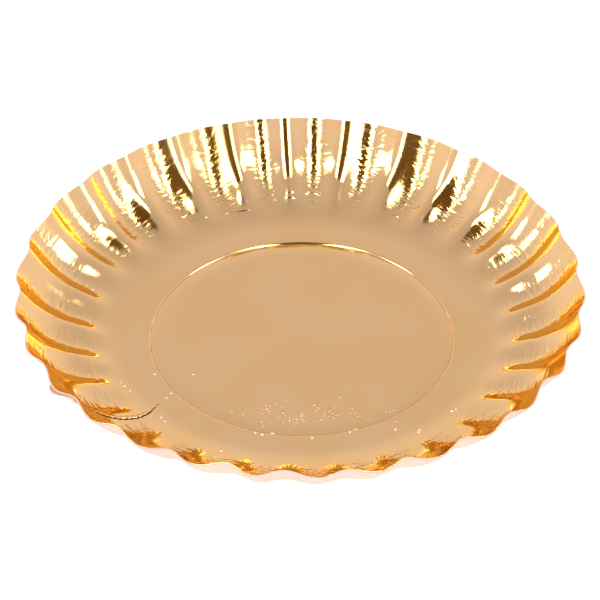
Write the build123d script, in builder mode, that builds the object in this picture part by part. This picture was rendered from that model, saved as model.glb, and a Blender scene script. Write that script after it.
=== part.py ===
from build123d import *

import os
from math import asin, atan2, cos, degrees, hypot, radians, sin

# A round fluted plate pressed from one laminated sheet: a flat base, a wall that curves up
# from it, flutes that deepen towards the rim, and an embossed step around the base.
# Millimetres. The origin is the centre of the underside, +Z is up, and a groove lies on +X.

os.makedirs("parts", exist_ok=True)

# outline
rim_radius = 115.0  # axis to the outward points of the rim, on the underside
rim_height = 25.0  # the same points above the surface that the plate rests on
base_radius = 71.0  # where the wall starts to curve up
wall_bend = 38.0  # underside radius of the smooth lower wall, seen in a radial section
plain_wall = 8.0  # radial width of that smooth wall, below the flutes
step_inset = 8.7  # the embossed step lies this far inside base_radius
step_width = 1.2
step_height = 0.4  # the middle of the base is this much lower than its border

# flutes
flute_count = 29
flute_depth = 3.0  # from groove to ridge at the rim, square to the wall
flute_sections = 8  # spans that each flute is lofted through

# plies, from the underside up
liner_thickness = 0.10
board_thickness = 0.55
film_thickness = 0.10

liner_top = liner_thickness
board_top = liner_top + board_thickness
film_top = board_top + film_thickness

pitch = 360 / flute_count
step_outer = base_radius - step_inset
step_inner = step_outer - step_width
seam_radius = base_radius - step_inset / 2  # the fluted wall and the disc meet here
wall_start = seam_radius - step_inset / 4  # the wall is lofted from here and trimmed back

# where the flutes begin, and the run and rise from there to the rim's outward points
plain_turn = asin(plain_wall / wall_bend)
groove_run = rim_radius - base_radius - plain_wall
groove_rise = rim_height - step_height - wall_bend * (1 - cos(plain_turn))
rim_slope = 2 * atan2(groove_rise, groove_run) - plain_turn


def wall_section(phase, low, high):
    # a ply's outline in a radial plane: 0 degrees is a groove and 180 a ridge
    lift = flute_depth * (1 - cos(radians(phase))) / 2
    run = groove_run - lift * sin(rim_slope)
    rise = groove_rise + lift * cos(rim_slope)
    flute_turn = 2 * (atan2(rise, run) - plain_turn)
    flute_bend = hypot(run, rise) / (2 * sin(flute_turn / 2))
    ends = []
    for height in (low, high):
        z = step_height + height
        flat = Line((wall_start, z), (base_radius, z))
        plain = JernArc(flat @ 1, flat % 1, wall_bend - height, degrees(plain_turn))
        fluted = JernArc(plain @ 1, plain % 1, flute_bend - height, degrees(flute_turn))
        ends.append((flat @ 0, fluted @ 1))
    Line(ends[0][0], ends[1][0])
    Line(ends[0][1], ends[1][1])


def radial_plane(angle):
    out = (cos(radians(angle)), sin(radians(angle)), 0)
    across = (sin(radians(angle)), -cos(radians(angle)), 0)
    return Plane(origin=(0, 0, 0), x_dir=out, z_dir=across)


def fluted_wall(low, high):
    # one flute, ridge to ridge, repeated around the axis and trimmed to the seam
    with BuildPart() as flute:
        for i in range(flute_sections + 1):
            share = i / flute_sections - 0.5
            with BuildSketch(radial_plane(share * pitch)):
                with BuildLine():
                    wall_section(360 * share, low, high)
                make_face()
        loft()
    with BuildPart() as wall:
        with PolarLocations(0, flute_count):
            add(flute.part)
        Cylinder(seam_radius, 4 * rim_height, mode=Mode.SUBTRACT)
    return wall.part


def base_disc(low, high):
    # the base inside the seam, with the embossed step as a smooth S
    middle = (step_inner + step_outer) / 2
    with BuildPart() as disc:
        with BuildSketch(Plane.XZ):
            with BuildLine():
                for z in (low, high):
                    top = z + step_height
                    Line((0, z), (step_inner, z))
                    Bezier((step_inner, z), (middle, z), (middle, top), (step_outer, top))
                    Line((step_outer, top), (seam_radius, top))
                Line((0, low), (0, high))
                Line((seam_radius, low + step_height), (seam_radius, high + step_height))
            make_face()
        revolve(axis=Axis.Z)
    return disc.part


# white lining ply: the underside, which meets the table
with BuildPart() as back_liner:
    add(base_disc(0, liner_top))
    add(fluted_wall(0, liner_top))

# paperboard: the ply that gives the plate its stiffness
with BuildPart() as board_core:
    add(base_disc(liner_top, board_top))
    add(fluted_wall(liner_top, board_top))

# metallised film: the bright upper face
with BuildPart() as gold_film:
    add(base_disc(board_top, film_top))
    add(fluted_wall(board_top, film_top))

back_liner.part.label = "back_liner"
board_core.part.label = "board_core"
gold_film.part.label = "gold_film"

export_step(back_liner.part, "parts/back_liner.step")
export_step(board_core.part, "parts/board_core.step")
export_step(gold_film.part, "parts/gold_film.step")
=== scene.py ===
import math
import bmesh
import bpy
import numpy as np
from mathutils import Matrix, Vector


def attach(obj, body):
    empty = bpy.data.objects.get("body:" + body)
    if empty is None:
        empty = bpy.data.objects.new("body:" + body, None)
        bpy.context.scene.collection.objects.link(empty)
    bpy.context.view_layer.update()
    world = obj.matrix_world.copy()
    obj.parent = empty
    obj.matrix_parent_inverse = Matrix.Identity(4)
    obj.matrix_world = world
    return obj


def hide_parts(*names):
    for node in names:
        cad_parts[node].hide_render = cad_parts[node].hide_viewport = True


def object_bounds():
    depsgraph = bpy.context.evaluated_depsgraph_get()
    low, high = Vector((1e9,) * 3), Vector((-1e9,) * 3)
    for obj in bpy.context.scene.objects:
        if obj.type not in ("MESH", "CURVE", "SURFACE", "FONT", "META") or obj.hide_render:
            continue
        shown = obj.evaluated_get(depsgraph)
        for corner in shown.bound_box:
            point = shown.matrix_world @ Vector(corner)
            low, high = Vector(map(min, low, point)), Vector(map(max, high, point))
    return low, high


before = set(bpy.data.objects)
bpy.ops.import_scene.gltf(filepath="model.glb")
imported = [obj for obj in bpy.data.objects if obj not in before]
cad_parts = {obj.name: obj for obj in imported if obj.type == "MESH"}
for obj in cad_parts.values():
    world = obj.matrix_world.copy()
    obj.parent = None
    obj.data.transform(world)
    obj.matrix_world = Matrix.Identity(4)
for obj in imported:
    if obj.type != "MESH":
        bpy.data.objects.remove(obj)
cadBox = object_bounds()
print("frame loaded")

# the pressed sheet, in metres; the rim follows the frame
plate = {
    "rimRadius": cadBox[1][0],
    "rimHeight": 0.0250,  # underside of the rim's outward points
    "baseRadius": 0.071,  # where the wall starts to curve up
    "wallBend": 0.038,
    "plainWall": 0.008,
    "sag": 0.0018,  # how far the middle of the wall hangs outside a true arc
    "stiffFront": 0.55,  # share of the sag that the front of the wall lacks
    "frontReach": 1.3,  # how far round the front counts as front
    "stepOuter": 0.0623,  # embossed ring round the base
    "stepWidth": 0.0009,
    "stepHeight": 0.0004,
    "scoreDepth": 0.00022,  # the step's foot is scored a little deeper
    "scoreWidth": 0.00042,
    "liner": 0.00010,
    "board": 0.00055,
    "film": 0.00010,
}

linerTop = plate["liner"]
boardTop = linerTop + plate["board"]
filmTop = boardTop + plate["film"]

# the section that every ply follows: a flat base, a smooth curve and the fluted wall
stepInner = plate["stepOuter"] - plate["stepWidth"]
plainTurn = math.asin(plate["plainWall"] / plate["wallBend"])
flutedRun = plate["rimRadius"] - plate["baseRadius"] - plate["plainWall"]
plainRise = plate["wallBend"] * (1 - math.cos(plainTurn))
flutedRise = plate["rimHeight"] - plate["stepHeight"] - plainRise
flutedTurn = 2 * (math.atan2(flutedRise, flutedRun) - plainTurn)
flutedBend = math.hypot(flutedRun, flutedRise) / (2 * math.sin(flutedTurn / 2))
plainEnd = plate["baseRadius"] + plate["wallBend"] * plainTurn
wallEnd = plainEnd + flutedBend * flutedTurn


def meridian(along, height):
    # radius, height and slope of the underside at a distance from the centre, along the sheet;
    # the score is deepest for the face that lies highest in the sheet
    t = np.clip((along - stepInner) / plate["stepWidth"], 0, 1)
    score = np.exp(-(((along - stepInner) / plate["scoreWidth"]) ** 2))
    z = plate["stepHeight"] * t * t * (3 - 2 * t) - plate["scoreDepth"] * score * height / filmTop
    slope = np.arctan(plate["stepHeight"] / plate["stepWidth"] * 6 * t * (1 - t))
    plain = np.clip((along - plate["baseRadius"]) / plate["wallBend"], 0, plainTurn)
    curved = plate["baseRadius"] + plate["wallBend"] * np.sin(plain)
    r = np.where(along > plate["baseRadius"], curved, along)
    z = z + plate["wallBend"] * (1 - np.cos(plain))
    slope = slope + plain
    turned = np.clip((along - plainEnd) / flutedBend, 0, flutedTurn)
    r = r + flutedBend * (np.sin(plainTurn + turned) - math.sin(plainTurn)) * (turned > 0)
    z = z + flutedBend * (math.cos(plainTurn) - np.cos(plainTurn + turned))
    return r, z, slope + turned


def wander(theta, lowest, highest, seed):
    # smooth random value round the plate, about -1 to 1, of so many waves round it
    wanderSpan = 1.6
    rng = np.random.default_rng(seed)
    total = np.zeros_like(theta)
    for k in range(lowest, highest + 1):
        total += rng.normal() * np.cos(k * theta + rng.uniform(0, 2 * math.pi))
    return total / math.sqrt((highest - lowest + 1) / 2) / wanderSpan


def frontShare(theta):
    # 1 along the front of the wall, fading to 0 at the two sides
    return np.clip(-np.sin(theta) * plate["frontReach"], 0, 1) ** 2


flutes = {
    "count": 29,
    "depth": 0.0030,  # groove to ridge at the rim
    "start": 0.0770,  # distance along the sheet where they begin to show
    "fadeShare": 0.38,  # share of the fluted wall over which they deepen fast
    "fadeDepth": 0.80,  # how deep they are by then
    "lateFront": 0.80,  # how far they deepen later than that towards the front edge
    "lateCurve": 1.4,
    "phaseWander": 0.16,  # radians
    "twist": 0.25,  # radians more or less between the foot and the rim
    "twistCentre": 0.6,
    "depthWander": 0.12,
    "flatGroove": 0.045,  # how much rounder a groove is than a ridge
    "columns": 16,  # mesh columns per flute
    # fewest and most waves round the plate, and the seed
    "phaseWaves": (5, 26, 3),
    "twistWaves": (4, 20, 4),
    "depthWaves": (3, 24, 5),
}


def fluteLift(share, theta):
    # how far the sheet is pushed inwards, square to itself
    deep = flutes["fadeDepth"]
    t = np.clip(share / flutes["fadeShare"], 0, 1)
    growth = deep * t * t * (3 - 2 * t) + (1 - deep) * share
    late = flutes["lateFront"] * frontShare(theta)
    growth = growth + late * (share ** flutes["lateCurve"] - growth)
    phase = flutes["count"] * theta
    phase = phase + flutes["phaseWander"] * wander(theta, *flutes["phaseWaves"])
    twist = flutes["twist"] * (share - flutes["twistCentre"])
    phase = phase + twist * wander(theta, *flutes["twistWaves"])
    swell = 1 + flutes["depthWander"] * wander(theta, *flutes["depthWaves"])
    wave = (1 - np.cos(phase)) / 2 - flutes["flatGroove"] * (1 - np.cos(2 * phase)) / 2
    return flutes["depth"] * growth * swell * wave


rimWarp = {
    # how far the rim is off true, in metres
    "lift": -0.0010,
    "leftLift": 0.0006,
    "backLift": 0.0005,
    "saddle": 0.0005,
    "spread": 0.0018,
    "spreadAt": 158,  # degrees
    "curve": 1.5,  # how late up the wall it sets in
}


def sheetPoints(along, theta, height):
    # points of the sheet on a grid of distances along and angles round
    alongGrid, turnGrid = np.meshgrid(along, theta, indexing="ij")
    r, z, slope = meridian(alongGrid, height)
    share = np.clip((alongGrid - plainEnd) / (wallEnd - plainEnd), 0, 1)
    fluted = np.clip((alongGrid - flutes["start"]) / (wallEnd - flutes["start"]), 0, 1)
    sag = plate["sag"] * (1 - plate["stiffFront"] * frontShare(turnGrid))
    up = fluteLift(fluted, turnGrid) + height - sag * np.sin(math.pi * share) ** 2
    r = r - np.sin(slope) * up
    z = z + np.cos(slope) * up
    bent = share ** rimWarp["curve"]
    warp = rimWarp["lift"] + rimWarp["leftLift"] * -np.cos(turnGrid)
    warp = warp + rimWarp["backLift"] * np.sin(turnGrid) - rimWarp["saddle"] * np.cos(2 * turnGrid)
    z = z + bent * warp
    towards = np.clip(np.cos(turnGrid - math.radians(rimWarp["spreadAt"])), 0, 1)
    r = r + bent * rimWarp["spread"] * towards ** 2
    return r, z, slope, share, alongGrid, turnGrid


def sheetPoint(along, turn, height):
    # radius, height and slope at one place
    r, z, slope, _, _, _ = sheetPoints(np.array([along]), np.array([turn]), height)
    return float(r[0, 0]), float(z[0, 0]), float(slope[0, 0])


creases = {
    "seed": 11,
    "perGroove": 32,
    "depth": (0.00004, 0.00014),
    "sunkShare": 0.6,  # the others stand up
    "width": (0.00026, 0.00050),
    "reach": (1.1, 5.2),  # half length, degrees
    "taper": 1.6,
    "cutOff": 2.2,  # half lengths from its middle
    "span": (0.10, 0.92),  # share of the fluted wall
    "crowding": (1.1, 1.7),  # more of them low on the wall
    "offset": 1.0,  # degrees from the groove
    "tilt": 0.012,
    "bow": (0.25, 0.25),
}


def creaseLift(share, theta, along):
    # fine transverse creases across the grooves
    rng = np.random.default_rng(creases["seed"])
    lift = np.zeros_like(share)
    pitch = 2 * math.pi / flutes["count"]
    column = theta[0]
    low, high = creases["span"]
    signs = [creases["sunkShare"], 1 - creases["sunkShare"]]
    for flute in range(flutes["count"]):
        lean = float(wander(np.array([flute * pitch]), *flutes["phaseWaves"])[0])
        groove = flute * pitch - flutes["phaseWander"] / flutes["count"] * lean
        away = (column - groove + math.pi) % (2 * math.pi) - math.pi
        for _ in range(creases["perGroove"]):
            place = low + (high - low) * rng.beta(*creases["crowding"])
            middle = plainEnd + place * (wallEnd - plainEnd)
            reach = math.radians(rng.uniform(*creases["reach"]))
            offset = math.radians(rng.normal(0, creases["offset"]))
            width = rng.uniform(*creases["width"])
            depth = rng.uniform(*creases["depth"]) * rng.choice([-1, 1], p=signs)
            tilt = rng.normal(0, creases["tilt"])
            bow = rng.normal(*creases["bow"])
            near = np.abs(away - offset) < creases["cutOff"] * reach
            d = (away - offset)[near]
            line = middle + tilt * d + bow * d * d
            u = (along[:, :1] - line[None, :]) / width
            fade = np.exp(-((d / reach) ** 2) * creases["taper"])[None, :]
            lift[:, near] += depth * np.exp(-u * u) * fade
    return lift


crack = {
    # distance along the sheet and angle in degrees along its way, outermost first
    "path": [(0.1103, -142.4), (0.1046, -142.2), (0.1009, -141.8), (0.0929, -140.8),
             (0.0861, -140.5), (0.0819, -140.8), (0.0776, -141.8), (0.0718, -143.5),
             (0.0668, -144.8)],
    "jags": [(0.00018, 2100, 0), (0.00012, 5300, 1)],  # size, rate along the sheet and phase
    "outerRadius": 0.112,  # radius of the wall beyond it, near enough
    "innerFade": 0.010,
    "outerFade": 0.004,
    "halfWidth": 0.00035,
    "endWidth": 0.6,  # share of the width left at its ends
    "depth": 0.00034,
    "lip": 0.00028,
    "lipPlace": 2.2,  # in widths of the crack
    "lipWidth": 1.6,
    # the mesh is finer between these angles
    "fineFrom": -146.5,
    "fineTo": -138.5,
    "fineColumns": 64,
    "fineGap": 0.004,  # radians to the nearest even column
}


def crackLift(theta, along):
    # a split in the film with one lip standing up beside it, and its mask, which the film's
    # material uses to paint shade in the split
    path = sorted(crack["path"])
    first, last = path[0][0], path[-1][0]
    middle = np.interp(along, [p[0] for p in path], [math.radians(p[1]) for p in path])
    away = (theta - middle + math.pi) % (2 * math.pi) - math.pi
    side = away * np.minimum(along, crack["outerRadius"])
    for size, rate, phase in crack["jags"]:
        side = side + size * np.sin(along * rate + phase)
    ends = np.clip((along - first) / crack["innerFade"], 0, 1)
    ends = ends * np.clip((last - along) / crack["outerFade"], 0, 1)
    wide = crack["halfWidth"] * (crack["endWidth"] + (1 - crack["endWidth"]) * ends)
    notch = np.exp(-((side / wide) ** 2)) * ends
    fromLip = (side + crack["lipPlace"] * wide) / (crack["lipWidth"] * wide)
    lip = np.exp(-(fromLip ** 2)) * ends
    return crack["lip"] * lip - crack["depth"] * notch, notch


meshing = {
    # rings of vertices in each stretch of the sheet, from the centre out
    "filmRings": (8, 10, 12, 120, 10),
    "filmCentre": 0.008,  # where the first ring lies
    "rimBand": 0.0055,
    "plainRings": (3, 6, 2),  # on the faces that need less, before those of the wall
    "plainCentre": 0.012,
    "filmWall": 14,  # rings on the wall of the film's underside, the board and the lining
    "boardWall": 18,
    "linerWall": 40,
    "rimOnly": 1e-6,  # rings nearer the rim than this are on it
    "stepMargin": 0.0006,  # how far the fine rings reach past the step
    "sharpAngle": 55,  # degrees
}


def ringStack(counts, edges):
    # evenly spaced rings between each pair of edges
    rings = []
    for count, start, end in zip(counts, edges, edges[1:]):
        rings += list(np.linspace(start, end, count, endpoint=False))
    return np.array(rings + [edges[-1]])


# the step has fine rings of its own
stepEdges = [stepInner - meshing["stepMargin"], plate["stepOuter"] + meshing["stepMargin"]]


def filmRings():
    rimStart = wallEnd - meshing["rimBand"]
    edges = [meshing["filmCentre"], *stepEdges, plainEnd, rimStart, wallEnd]
    return ringStack(meshing["filmRings"], edges)


def plainRings(wallCount):
    edges = [meshing["plainCentre"], *stepEdges, plate["baseRadius"], wallEnd]
    return ringStack((*meshing["plainRings"], wallCount), edges)


def columnAngles():
    # even columns, and much finer ones round the crack
    even = np.linspace(0, 2 * math.pi, flutes["count"] * flutes["columns"], endpoint=False)
    low, high = math.radians(crack["fineFrom"] + 360), math.radians(crack["fineTo"] + 360)
    fine = np.linspace(low, high, crack["fineColumns"])
    before, after = even[even < low - crack["fineGap"]], even[even > high + crack["fineGap"]]
    return np.concatenate([before, fine, after])


columns = columnAngles()


def spacePoints(r, z, theta):
    return np.stack([r * np.cos(theta), r * np.sin(theta), z], -1)


def plyFace(along, height, sink=0.0):
    # one face of a ply; all of it but the rim can be sunk into the ply
    r, z, slope, _, alongGrid, turnGrid = sheetPoints(along, columns, height)
    down = np.where(alongGrid < wallEnd - meshing["rimOnly"], -sink, 0.0)
    return spacePoints(r - np.sin(slope) * down, z + np.cos(slope) * down, turnGrid)


def linkPiece(name, data):
    piece = bpy.data.objects.new(name, data)
    bpy.context.collection.objects.link(piece)
    return piece


def linkBmesh(name, bm):
    data = bpy.data.meshes.new(name)
    bm.to_mesh(data)
    bm.free()
    return linkPiece(name, data)


def closedPly(name, topPoints, lowPoints, topCentre, lowCentre):
    # a thin closed solid from two grids with the same columns, joined at the rim
    topRows, around = topPoints.shape[:2]
    lowRows = lowPoints.shape[0]
    centres = [topCentre, lowCentre]
    verts = np.concatenate([topPoints.reshape(-1, 3), lowPoints.reshape(-1, 3), centres])
    here = np.arange(around)
    after = (here + 1) % around
    low = topRows * around

    def strip(a, b, left, right):
        return np.stack([a + left, b + left, b + right, a + right], 1)

    quads = [strip(i * around, (i + 1) * around, here, after) for i in range(topRows - 1)]
    for i in range(lowRows - 1):
        quads.append(strip(low + i * around, low + (i + 1) * around, after, here))
    quads.append(strip((topRows - 1) * around, low + (lowRows - 1) * around, here, after))
    quads = np.concatenate(quads)
    middle = low + lowRows * around
    tris = np.concatenate([
        np.stack([np.full(around, middle), here, after], 1),
        np.stack([np.full(around, middle + 1), low + after, low + here], 1),
    ])
    data = bpy.data.meshes.new(name)
    data.vertices.add(len(verts))
    data.vertices.foreach_set("co", verts.astype(np.float32).ravel())
    loops = np.concatenate([quads.ravel(), tris.ravel()])
    data.loops.add(len(loops))
    data.loops.foreach_set("vertex_index", loops.astype(np.int32))
    sizes = np.concatenate([np.full(len(quads), 4), np.full(len(tris), 3)])
    starts = np.concatenate([[0], np.cumsum(sizes)[:-1]])
    data.polygons.add(len(sizes))
    data.polygons.foreach_set("loop_start", starts.astype(np.int32))
    data.update(calc_edges=True)
    data.polygons.foreach_set("use_smooth", np.ones(len(sizes), bool))
    data.set_sharp_from_angle(angle=math.radians(meshing["sharpAngle"]))
    data.validate()
    return linkPiece(name, data)


def pointValue(piece, name, values):
    # a value on each vertex that the material reads
    data = piece.data.attributes.new(name, "FLOAT", "POINT")
    full = np.zeros(len(piece.data.vertices), np.float32)
    full[: values.size] = values.ravel()
    data.data.foreach_set("value", full)


# faces between two plies are sunk, so that neither shows through the other
hidden = 0.00030
boardHidden = 1.15 * hidden

filmWaves = {
    "grooveGain": 0.9,
    "grooveBias": 0.25,
    "grooveFade": 5,
    # shallow waves across the grooves; "broken" and "bent" are waves round the plate and seed
    "sets": [
        {"depth": 0.00004, "rate": 640, "fade": 3,
         "broken": (20, 60, 8), "bent": (6, 30, 9), "bend": 2},
        {"depth": 0.00002, "rate": 150, "fade": 4,
         "broken": (3, 12, 12), "bent": (3, 9, 13), "bend": 1},
    ],
}


def makeFilm():
    r, z, slope, share, along, theta = sheetPoints(filmRings(), columns, filmTop)
    phase = flutes["count"] * theta
    phase = phase + flutes["phaseWander"] * wander(theta, *flutes["phaseWaves"])
    inGroove = np.clip(np.cos(phase) * filmWaves["grooveGain"] + filmWaves["grooveBias"], 0, 1)
    split, gap = crackLift(theta, along)
    lift = creaseLift(share, theta, along) + split
    for wave in filmWaves["sets"]:
        strength = wave["depth"] * inGroove * wander(theta, *wave["broken"])
        bend = wave["bend"] * wander(theta, *wave["bent"])
        swing = np.sin(along * wave["rate"] + bend) * np.clip(share * wave["fade"], 0, 1)
        lift = lift + strength * swing
    top = spacePoints(r - np.sin(slope) * lift, z + np.cos(slope) * lift, theta)
    under = plyFace(plainRings(meshing["filmWall"]), boardTop, hidden)
    film = closedPly("gold_film_skin", top, under, (0, 0, filmTop), (0, 0, boardTop - hidden))
    pointValue(film, "groove", inGroove * np.clip(share * filmWaves["grooveFade"], 0, 1))
    # the split's mask goes to the film's material, which paints shade in the split with it
    pointValue(film, "split", gap)
    return film


def makeBoard():
    rings = plainRings(meshing["boardWall"])
    top, under = plyFace(rings, boardTop, boardHidden), plyFace(rings, linerTop)
    return closedPly("board_ply", top, under, (0, 0, boardTop - boardHidden), (0, 0, linerTop))


def makeLiner():
    rings = plainRings(meshing["linerWall"])
    top, under = plyFace(rings, linerTop), plyFace(rings, 0.0)
    return closedPly("liner_ply", top, under, (0, 0, linerTop), (0, 0, 0))


tornPly = {
    "from": -150.5,
    "to": -141.0,
    "root": 0.0009,  # how far inside the rim it starts
    "width": 0.0017,
    "thickness": 0.00014,
    "under": 0.00012,  # its distance below the board
    "peel": 0.0010,  # how far its free edge stands off the rim
    "curl": 1.7,
    "droop": 0.4,
    "bulge": (1.25, 0.7),  # how soon it widens, and how blunt it is
    "ragged": [(0.02, 31), (0.12, 47)],  # size and rate of the waves in its edge
    "tailFrom": 0.8,
    "tailLength": 0.2,
    "tailWidth": 0.6,
    "least": 0.02,
    "steps": 26,
    "across": 6,
}


def tornSwell(t):
    # its width along its length, as a share of the widest; the last part is a straight tail
    soon, blunt = tornPly["bulge"]
    (slow, slowRate), (quick, quickRate) = tornPly["ragged"]
    if t < tornPly["tailFrom"]:
        swell = math.sin(math.pi * min(1, t * soon + slow * math.sin(t * slowRate)) ** blunt)
    else:
        swell = tornPly["tailWidth"] * (1 - t) / tornPly["tailLength"]
    return max(swell, tornPly["least"]) * (1 + quick * math.sin(t * quickRate))


def tornPoint(t, v, face):
    # t runs along the sliver, v from its root to its free edge
    turn = math.radians(tornPly["from"] + (tornPly["to"] - tornPly["from"]) * t)
    swell = tornSwell(t)
    back = wallEnd - tornPly["root"] + tornPly["width"] * v * swell
    r, z, slope = sheetPoint(min(back, wallEnd), turn, linerTop)
    over = max(0.0, back - wallEnd)
    r += over * math.cos(slope * tornPly["droop"])
    z += over * math.sin(slope * tornPly["droop"])
    off = -tornPly["peel"] * swell * math.sin(v * tornPly["curl"])
    off -= tornPly["under"] + tornPly["thickness"] * face
    r -= math.sin(slope) * off
    z += math.cos(slope) * off
    return r * math.cos(turn), r * math.sin(turn), z


def makeTornPly():
    # a sliver of board torn from the rim, still held at its two ends
    steps, across = tornPly["steps"], tornPly["across"]
    bm = bmesh.new()
    near, far = [
        [[bm.verts.new(tornPoint(i / steps, j / across, face)) for j in range(across + 1)]
         for i in range(steps + 1)]
        for face in (0, 1)
    ]
    for i in range(steps):
        for j in range(across):
            bm.faces.new([near[i][j], near[i][j + 1], near[i + 1][j + 1], near[i + 1][j]])
            bm.faces.new([far[i][j], far[i + 1][j], far[i + 1][j + 1], far[i][j + 1]])
    for i in range(steps):
        for j in (0, across):
            bm.faces.new([near[i][j], near[i + 1][j], far[i + 1][j], far[i][j]])
    for i in (0, steps):
        for j in range(across):
            bm.faces.new([near[i][j], near[i][j + 1], far[i][j + 1], far[i][j]])
    bmesh.ops.recalc_face_normals(bm, faces=bm.faces)
    return linkBmesh("torn_ply", bm)


flecks = {
    # distance along the sheet, angle and size of the grains caught under the film
    "grains": [(0.0628, -107.2, 0.42), (0.0631, -104.5, 0.50), (0.0609, -101.0, 0.44),
               (0.0632, -86.2, 0.46), (0.0625, -72.0, 0.44), (0.0620, -69.5, 0.52),
               (0.0790, -114.0, 0.50), (0.0760, -52.0, 0.50), (0.0752, -51.0, 0.40),
               (0.0690, -57.0, 0.48), (0.0766, -38.0, 0.48), (0.0772, -36.6, 0.38),
               (0.0666, -144.8, 0.38), (0.0634, -146.0, 0.36), (0.0758, -138.0, 0.48),
               (0.0766, -135.8, 0.40), (0.0784, -156.0, 0.44), (0.0773, -153.6, 0.34),
               (0.0638, -158.5, 0.40), (0.0495, -152.0, 0.34), (0.0790, -158.0, 0.34),
               (0.0900, 163.0, 0.40), (0.0850, 118.0, 0.36), (0.0880, 28.0, 0.34)],
    "unit": 0.0016,  # radius of a grain of size 1
    "narrow": 0.8,
    "rise": 0.45,  # height as a share of the radius
    "spin": 9000,  # turns each grain its own way
    "seed": 5,
    "loose": 46,  # more of them, very small, in a rubbed patch near the front of the base
    "looseSize": (0.13, 0.27),
    "patchCentre": (0.006, -0.0480),
    "patchSize": (0.017, 0.0042),
}


def makeFlecks():
    bm = bmesh.new()
    rng = np.random.default_rng(flecks["seed"])
    grains = list(flecks["grains"])
    for _ in range(flecks["loose"]):
        x, y = rng.normal(flecks["patchCentre"], flecks["patchSize"])
        size = rng.uniform(*flecks["looseSize"])
        grains.append((math.hypot(x, y), math.degrees(math.atan2(y, x)), size))
    for distance, degrees, size in grains:
        turn = math.radians(degrees)
        r, z, slope = sheetPoint(distance, turn, filmTop)
        place = Matrix.Translation((r * math.cos(turn), r * math.sin(turn), z))
        place = place @ Matrix.Rotation(turn, 4, "Z") @ Matrix.Rotation(-slope, 4, "Y")
        place = place @ Matrix.Rotation(distance * flecks["spin"], 4, "Z")
        size *= flecks["unit"]
        place = place @ Matrix.Diagonal((size, size * flecks["narrow"], size * flecks["rise"], 1))
        bmesh.ops.create_icosphere(bm, subdivisions=2, radius=1, matrix=place)
    for face in bm.faces:
        face.smooth = True
    return linkBmesh("film_flecks", bm)


def setInputs(tree, node, values):
    # each value is a socket to link or a constant
    for key, value in values.items():
        if isinstance(value, bpy.types.NodeSocket):
            tree.links.new(value, node.inputs[key])
        else:
            node.inputs[key].default_value = value
    return node


def putNode(tree, kind, values, **settings):
    node = tree.nodes.new(kind)
    for key, value in settings.items():
        setattr(node, key, value)
    return setInputs(tree, node, values)


def remap(tree, value, low, high, toLow=0.0, toHigh=1.0):
    node = putNode(tree, "ShaderNodeMapRange", {
        "Value": value, "From Min": low, "From Max": high, "To Min": toLow, "To Max": toHigh,
    }, interpolation_type="SMOOTHSTEP")
    return node.outputs["Result"]


def maths(tree, kind, a, b=0.0):
    return putNode(tree, "ShaderNodeMath", {0: a, 1: b}, operation=kind).outputs["Value"]


def vectorMaths(tree, kind, values, output="Vector"):
    return putNode(tree, "ShaderNodeVectorMath", values, operation=kind).outputs[output]


def noise(tree, place, scale, **values):
    node = putNode(tree, "ShaderNodeTexNoise", {"Vector": place, "Scale": scale, **values})
    return node.outputs["Fac"]


def blend(tree, factor, a, b):
    # inputs 6 and 7 are the two colours of the node
    a, b = [(*value, 1) if isinstance(value, tuple) else value for value in (a, b)]
    return putNode(tree, "ShaderNodeMix", {0: factor, 6: a, 7: b}, data_type="RGBA").outputs[2]


def newGroup(name, inputs, outputs):
    group = bpy.data.node_groups.new(name, "ShaderNodeTree")
    for label, kind in inputs:
        group.interface.new_socket(label, in_out="INPUT", socket_type=kind)
    for label, kind in outputs:
        group.interface.new_socket(label, in_out="OUTPUT", socket_type=kind)
    return group, group.nodes.new("NodeGroupInput").outputs, group.nodes.new("NodeGroupOutput")


def useGroup(tree, group, values):
    node = tree.nodes.new("ShaderNodeGroup")
    node.node_tree = group
    return setInputs(tree, node, values).outputs


fibres = {
    "stretch": (1.0, 0.28, 1.0),
    "fibreShare": 0.55,
    "clumpShare": 0.45,
    "toneRange": (0.38, 0.62),
}


def paperFibreGroup():
    # matted fibres and pulp clumps
    group, source, result = newGroup("paperFibre", [
        ("Vector", "NodeSocketVector"),
        ("Fibre Scale", "NodeSocketFloat"),
        ("Clump Scale", "NodeSocketFloat"),
    ], [("Tone", "NodeSocketFloat"), ("Height", "NodeSocketFloat")])
    stretch = putNode(group, "ShaderNodeMapping", {
        "Vector": source["Vector"], "Scale": fibres["stretch"],
    }).outputs["Vector"]
    fibre = noise(group, stretch, source["Fibre Scale"], Detail=4.0, Distortion=0.6)
    clump = noise(group, source["Vector"], source["Clump Scale"], Detail=2.0)
    fibreShare = maths(group, "MULTIPLY", fibre, fibres["fibreShare"])
    clumpShare = maths(group, "MULTIPLY", clump, fibres["clumpShare"])
    tone = remap(group, maths(group, "ADD", fibreShare, clumpShare), *fibres["toneRange"])
    setInputs(group, result, {"Tone": tone, "Height": fibre})
    return group


specksShape = {
    "unevenScale": 0.35,  # of the noise that makes some spots larger, as a share of theirs
    "unevenRange": (0.45, 0.65),
    "softEdge": 0.08,
}


def softSpecksGroup():
    # scattered small spots of uneven size
    group, source, result = newGroup("softSpecks", [
        ("Vector", "NodeSocketVector"),
        ("Scale", "NodeSocketFloat"),
        ("Size", "NodeSocketFloat"),
    ], [("Mask", "NodeSocketFloat")])
    cells = putNode(group, "ShaderNodeTexVoronoi", {
        "Vector": source["Vector"], "Scale": source["Scale"], "Randomness": 1.0,
    })
    scale = maths(group, "MULTIPLY", source["Scale"], specksShape["unevenScale"])
    uneven = remap(group, noise(group, source["Vector"], scale), *specksShape["unevenRange"])
    reach = maths(group, "MULTIPLY", source["Size"], uneven)
    inside = maths(group, "SUBTRACT", reach, cells.outputs["Distance"])
    setInputs(group, result, {"Mask": remap(group, inside, 0.0, specksShape["softEdge"])})
    return group


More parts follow.
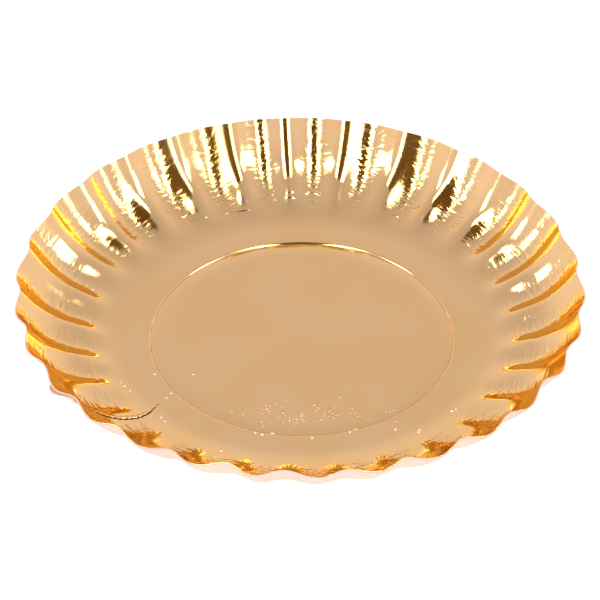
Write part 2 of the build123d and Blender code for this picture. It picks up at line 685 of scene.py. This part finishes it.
paperFibre = paperFibreGroup()
softSpecks = softSpecksGroup()


def freshMaterial(name):
    mat = bpy.data.materials.new(name)
    mat.use_nodes = True
    tree = mat.node_tree
    tree.nodes.clear()
    out = tree.nodes.new("ShaderNodeOutputMaterial")
    shader = tree.nodes.new("ShaderNodeBsdfPrincipled")
    tree.links.new(shader.outputs["BSDF"], out.inputs["Surface"])
    return mat, tree, shader


goldFilm = {
    "bright": (0.945, 0.665, 0.240),
    "deep": (0.930, 0.645, 0.215),
    "broadScale": 26.0,
    "broadRange": (0.35, 0.65),
    # painted shade in the split: near black-brown, the board's brown darkened as if in shadow
    "crackGapShade": (0.09, 0.030, 0.006),
    "gapShadeRange": (0.2, 0.65),
    "edgeTint": (0.86, 0.70, 0.44, 1),
    "roughness": (0.075, 0.13),
    "roughRange": (0.15, 0.35),
    "grainScale": 1500.0,
    "grainHeight": 0.00002,
    "grainStrength": 0.12,
    "wrinkleRound": 26.0,  # how fast the wrinkles change round the plate
    "wrinkleOutward": 900.0,  # and outwards
    "wrinkleRange": (0.42, 0.68),
    "creaseHeight": 0.00006,
    "scuffHeight": 0.00016,
    "scuffCentre": (0.004, -0.0475, 0.0),
    "scuffSqueeze": (0.36, 1.3, 1.0),
    "scuffFade": (0.005, 0.013),
    "scuffScale": 620.0,
    "scuffSize": 0.55,
}


def filmWrinkles(tree, place):
    # short wrinkles that run round the plate, strongest in the grooves
    parts = putNode(tree, "ShaderNodeSeparateXYZ", {"Vector": place}).outputs
    flat = putNode(tree, "ShaderNodeCombineXYZ", {"X": parts["X"], "Y": parts["Y"]})
    flat = flat.outputs["Vector"]
    outward = vectorMaths(tree, "LENGTH", {0: flat}, "Value")
    turn = vectorMaths(tree, "NORMALIZE", {0: flat})
    slow = vectorMaths(tree, "SCALE", {0: turn, "Scale": goldFilm["wrinkleRound"]})
    outward = maths(tree, "MULTIPLY", outward, goldFilm["wrinkleOutward"])
    quick = putNode(tree, "ShaderNodeCombineXYZ", {"Z": outward}).outputs["Vector"]
    polar = vectorMaths(tree, "ADD", {0: slow, 1: quick})
    wrinkle = noise(tree, polar, 1.0, Detail=3.0, Distortion=0.4)
    groove = putNode(tree, "ShaderNodeAttribute", {}, attribute_name="groove").outputs["Fac"]
    return maths(tree, "MULTIPLY", remap(tree, wrinkle, *goldFilm["wrinkleRange"]), groove)


def filmScuffs(tree, place):
    # a rubbed patch near the front of the base
    middle = vectorMaths(tree, "SUBTRACT", {0: place, 1: goldFilm["scuffCentre"]})
    squeezed = vectorMaths(tree, "MULTIPLY", {0: middle, 1: goldFilm["scuffSqueeze"]})
    distance = vectorMaths(tree, "LENGTH", {0: squeezed}, "Value")
    patch = remap(tree, distance, *goldFilm["scuffFade"], 1.0, 0.0)
    specks = useGroup(tree, softSpecks, {
        "Vector": place, "Scale": goldFilm["scuffScale"], "Size": goldFilm["scuffSize"],
    })
    return maths(tree, "MULTIPLY", specks["Mask"], patch)


def goldFilmMaterial():
    mat, tree, shader = freshMaterial("metallised gold film")
    place = tree.nodes.new("ShaderNodeTexCoord").outputs["Object"]
    broad = noise(tree, place, goldFilm["broadScale"], Detail=2.0)
    grain = noise(tree, place, goldFilm["grainScale"], Detail=2.0)
    broadMask = remap(tree, broad, *goldFilm["broadRange"])
    colour = blend(tree, broadMask, goldFilm["bright"], goldFilm["deep"])
    # the split is coloured near black-brown, painted shade in the crack
    split = putNode(tree, "ShaderNodeAttribute", {}, attribute_name="split").outputs["Fac"]
    colour = blend(tree, remap(tree, split, *goldFilm["gapShadeRange"]), colour, goldFilm["crackGapShade"])
    rough = maths(tree, "MULTIPLY", broad, grain)
    rough = remap(tree, rough, *goldFilm["roughRange"], *goldFilm["roughness"])
    creased = putNode(tree, "ShaderNodeBump", {
        "Strength": 1.0, "Distance": goldFilm["creaseHeight"], "Height": filmWrinkles(tree, place),
    }).outputs["Normal"]
    scuffed = putNode(tree, "ShaderNodeBump", {
        "Strength": 1.0, "Distance": goldFilm["scuffHeight"], "Height": filmScuffs(tree, place),
        "Normal": creased,
    }).outputs["Normal"]
    grained = putNode(tree, "ShaderNodeBump", {
        "Strength": goldFilm["grainStrength"], "Distance": goldFilm["grainHeight"],
        "Height": grain, "Normal": scuffed,
    }).outputs["Normal"]
    setInputs(tree, shader, {
        "Metallic": 1.0, "Specular Tint": goldFilm["edgeTint"], "Base Color": colour,
        "Roughness": rough, "Normal": grained,
    })
    return mat


fleckHighlightLook = {
    # paler than the film: a painted highlight on the grains, varied at random between these two
    # tones
    "light": (1.0, 0.86, 0.66),
    "dark": (1.0, 0.80, 0.55),
    "grainScale": 2500.0,
    "roughRange": (0.3, 0.7),
    "roughness": (0.28, 0.42),
}


def fleckMaterial():
    # a painted highlight: the film over the grains is coloured paler than the rest of the film
    mat, tree, shader = freshMaterial("film over a grain, painted paler as a highlight")
    place = tree.nodes.new("ShaderNodeTexCoord").outputs["Object"]
    grain = noise(tree, place, fleckHighlightLook["grainScale"])
    setInputs(tree, shader, {
        "Metallic": 1.0,
        "Base Color": blend(tree, grain, fleckHighlightLook["light"], fleckHighlightLook["dark"]),
        "Roughness": remap(tree, grain, *fleckHighlightLook["roughRange"], *fleckHighlightLook["roughness"]),
    })
    return mat


papers = {
    "board": {"light": (0.80, 0.46, 0.30), "dark": (0.72, 0.39, 0.24),
              "fibre": 1400.0, "bump": 0.00004},
    "liner": {"light": (0.60, 0.49, 0.365), "dark": (0.56, 0.45, 0.33),
              "fibre": 800.0, "bump": 0.00003, "specks": (0.55, 0.43, 0.33)},
    "torn": {"light": (0.72, 0.46, 0.31), "dark": (0.58, 0.34, 0.21),
             "fibre": 1100.0, "bump": 0.00006},
}
paperFinish = {
    "specular": 0.3,
    "roughness": (0.72, 0.86),
    "clump": 90.0,
    "bumpStrength": 0.6,
    "speckScale": 260.0,
    "speckSize": 0.22,
    "speckStrength": 0.35,
}


def paperMaterial(name, kind):
    look = papers[kind]
    mat, tree, shader = freshMaterial(name)
    place = tree.nodes.new("ShaderNodeTexCoord").outputs["Object"]
    fibre = useGroup(tree, paperFibre, {
        "Vector": place, "Fibre Scale": look["fibre"], "Clump Scale": paperFinish["clump"],
    })
    colour = blend(tree, fibre["Tone"], look["light"], look["dark"])
    if "specks" in look:
        specks = useGroup(tree, softSpecks, {
            "Vector": place, "Scale": paperFinish["speckScale"], "Size": paperFinish["speckSize"],
        })
        strength = maths(tree, "MULTIPLY", specks["Mask"], paperFinish["speckStrength"])
        colour = blend(tree, strength, colour, look["specks"])
    bump = putNode(tree, "ShaderNodeBump", {
        "Strength": paperFinish["bumpStrength"], "Distance": look["bump"],
        "Height": fibre["Height"],
    })
    setInputs(tree, shader, {
        "Specular IOR Level": paperFinish["specular"],
        "Base Color": colour,
        "Roughness": remap(tree, fibre["Tone"], 0.0, 1.0, *paperFinish["roughness"]),
        "Normal": bump.outputs["Normal"],
    })
    return mat


surroundings = {
    "tint": (0.985, 0.865, 1.26),
    # how bright it is at each height: 0 level with the plate, 1 overhead
    "levels": [(0.0, 1.0), (0.45, 0.84), (0.63, 0.735), (0.80, 0.67), (0.94, 0.61), (1.0, 0.56)],
    "sideGain": 0.06,
    "sideRange": (0.45, 0.85),
    # a dark gap overhead between the two main lights; the ranges are shares of a direction
    "gap": (0.135, 0.066, 0.016),
    "gapAcross": (0.23, 0.32),
    "gapBack": (-0.07, 0.02),
    "gapHeight": (0.25, 0.45),
}


def makeWorld():
    world = bpy.data.worlds.new("studio")
    bpy.context.scene.world = world
    world.use_nodes = True
    tree = world.node_tree
    tree.nodes.clear()
    out = tree.nodes.new("ShaderNodeOutputWorld")
    back = tree.nodes.new("ShaderNodeBackground")
    tree.links.new(back.outputs["Background"], out.inputs["Surface"])
    coords = tree.nodes.new("ShaderNodeTexCoord").outputs["Generated"]
    way = putNode(tree, "ShaderNodeSeparateXYZ", {"Vector": coords}).outputs
    ramp = putNode(tree, "ShaderNodeValToRGB", {"Fac": way["Z"]})
    stops = ramp.color_ramp.elements
    while len(stops) < len(surroundings["levels"]):
        stops.new(0.5)
    for stop, (height, level) in zip(stops, surroundings["levels"]):
        stop.position = height
        stop.color = (*(level * share for share in surroundings["tint"]), 1)
    across = maths(tree, "ABSOLUTE", way["X"])
    side = remap(tree, across, *surroundings["sideRange"], 1.0, 1.0 + surroundings["sideGain"])
    room = vectorMaths(tree, "SCALE", {0: ramp.outputs["Color"], "Scale": side})
    narrow = remap(tree, across, *surroundings["gapAcross"], 1.0, 0.0)
    near = remap(tree, way["Y"], *surroundings["gapBack"], 1.0, 0.0)
    high = remap(tree, way["Z"], *surroundings["gapHeight"])
    gap = maths(tree, "MULTIPLY", maths(tree, "MULTIPLY", narrow, near), high)
    tree.links.new(blend(tree, gap, room, surroundings["gap"]), back.inputs["Color"])


def direction(azimuth, elevation):
    # azimuth 180 is the front
    a, e = math.radians(azimuth), math.radians(elevation)
    return Vector((math.sin(a) * math.cos(e), math.cos(a) * math.cos(e), math.sin(e)))


softboxes = {
    # sideways place and width as shares of the distance, height in degrees over the front edge;
    # those that are "aimed" face the plate, and the others face it squarely from the front
    "mainLeft": {"sideways": -0.37, "width": 0.26, "height": 57, "length": 1.48, "glow": 3.8},
    "mainRight": {"sideways": 0.37, "width": 0.26, "height": 57, "length": 1.48, "glow": 3.8},
    "wingLeft": {"sideways": -1.26, "width": 0.46, "height": 76, "length": 0.70, "glow": 3.2,
                 "aimed": True},
    "wingRight": {"sideways": 1.25, "width": 0.50, "height": 77, "length": 0.72, "glow": 3.2,
                  "aimed": True},
}
softboxDistance = 1.3
softboxPower = 4  # watts per square metre for a glow of 1


def makeSoftboxes():
    for name, box in softboxes.items():
        way = direction(180, box["height"])
        light = bpy.data.lights.new(name, "AREA")
        light.shape = "RECTANGLE"
        light.size = box["width"] * softboxDistance
        light.size_y = box["length"] * softboxDistance
        light.energy = box["glow"] * softboxPower * light.size * light.size_y
        lamp = linkPiece(name, light)
        lamp.location = (way + Vector((box["sideways"], 0, 0))) * softboxDistance
        facing = lamp.location if "aimed" in box else way
        lamp.rotation_euler = facing.to_track_quat("Z", "Y").to_euler()


pageFloor = {
    "halfSize": 6.0,
    "drop": 0.0001,  # below the plate
    "colour": (0.9, 0.9, 0.9, 1),
    "roughness": 0.9,
    "glowColour": (0.97, 1.0, 0.95, 1),
    "glow": 0.52,
}


def makeFloor():
    half = pageFloor["halfSize"]
    data = bpy.data.meshes.new("floor")
    corners = [(-half, -half, 0), (half, -half, 0), (half, half, 0), (-half, half, 0)]
    data.from_pydata(corners, [], [(0, 1, 2, 3)])
    floor = linkPiece("floor", data)
    floor.location.z = -pageFloor["drop"]
    mat, tree, shader = freshMaterial("pale floor")
    setInputs(tree, shader, {
        "Base Color": pageFloor["colour"],
        "Roughness": pageFloor["roughness"],
        "Emission Color": pageFloor["glowColour"],
        "Emission Strength": pageFloor["glow"],
    })
    data.materials.append(mat)


camera = {
    "elevation": 39.25,
    "distance": 2.6,
    "frameWidth": 0.24296,
    "target": (-0.00067, 0, 0.0206),
    "sensorWidth": 36,
    "farthest": 50,
}


def makeCamera():
    data = bpy.data.cameras.new("camera")
    data.sensor_width = camera["sensorWidth"]
    data.lens = data.sensor_width * camera["distance"] / camera["frameWidth"]
    data.clip_end = camera["farthest"]
    eye = linkPiece("camera", data)
    way = direction(180, camera["elevation"])
    eye.location = Vector(camera["target"]) + way * camera["distance"]
    eye.rotation_euler = way.to_track_quat("Z", "Y").to_euler()
    bpy.context.scene.camera = eye


bpy.context.scene.view_settings.view_transform = "Standard"
makeCamera()
makeWorld()
makeSoftboxes()
makeFloor()
print("studio ready")

film = makeFilm()
film.data.materials.append(goldFilmMaterial())
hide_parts("gold_film")
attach(film, "root")
print("film made")

board = makeBoard()
board.data.materials.append(paperMaterial("cut paperboard", "board"))
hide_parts("board_core")
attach(board, "root")

liner = makeLiner()
liner.data.materials.append(paperMaterial("white lining paper", "liner"))
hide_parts("back_liner")
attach(liner, "root")
print("board and lining made")

tornBit = makeTornPly()
tornBit.data.materials.append(paperMaterial("torn board", "torn"))
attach(tornBit, "root")

fleckBits = makeFlecks()
fleckBits.data.materials.append(fleckMaterial())
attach(fleckBits, "root")
print("torn ply and flecks made")
